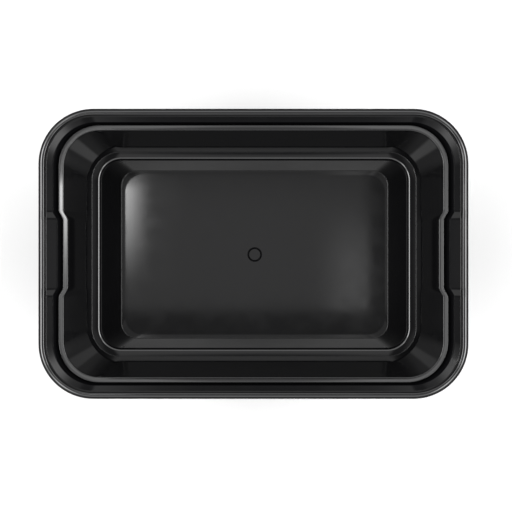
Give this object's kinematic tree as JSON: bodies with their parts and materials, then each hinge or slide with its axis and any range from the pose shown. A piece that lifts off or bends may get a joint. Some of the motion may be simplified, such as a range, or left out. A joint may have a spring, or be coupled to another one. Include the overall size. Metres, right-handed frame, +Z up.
{
  "type": "takeaway lunch box",
  "caption": "Open rectangular lunch box in glossy black plastic, with a stepped two-tier cavity, a skirted rim and a sealing groove for a lid.",
  "frame": {"origin": "middle of the foot, on the surface that the box stands on", "axes": "+X along the length, through the two notched ends; +Y across the width; +Z up, out of the open mouth"},
  "size_m": [0.175, 0.1182, 0.068],
  "materials": {
    "black_plastic": "glossy injection-moulded polypropylene"
  },
  "bodies": {
    "root": {"lunch_box": "black_plastic"}
  },
  "joints": []
}
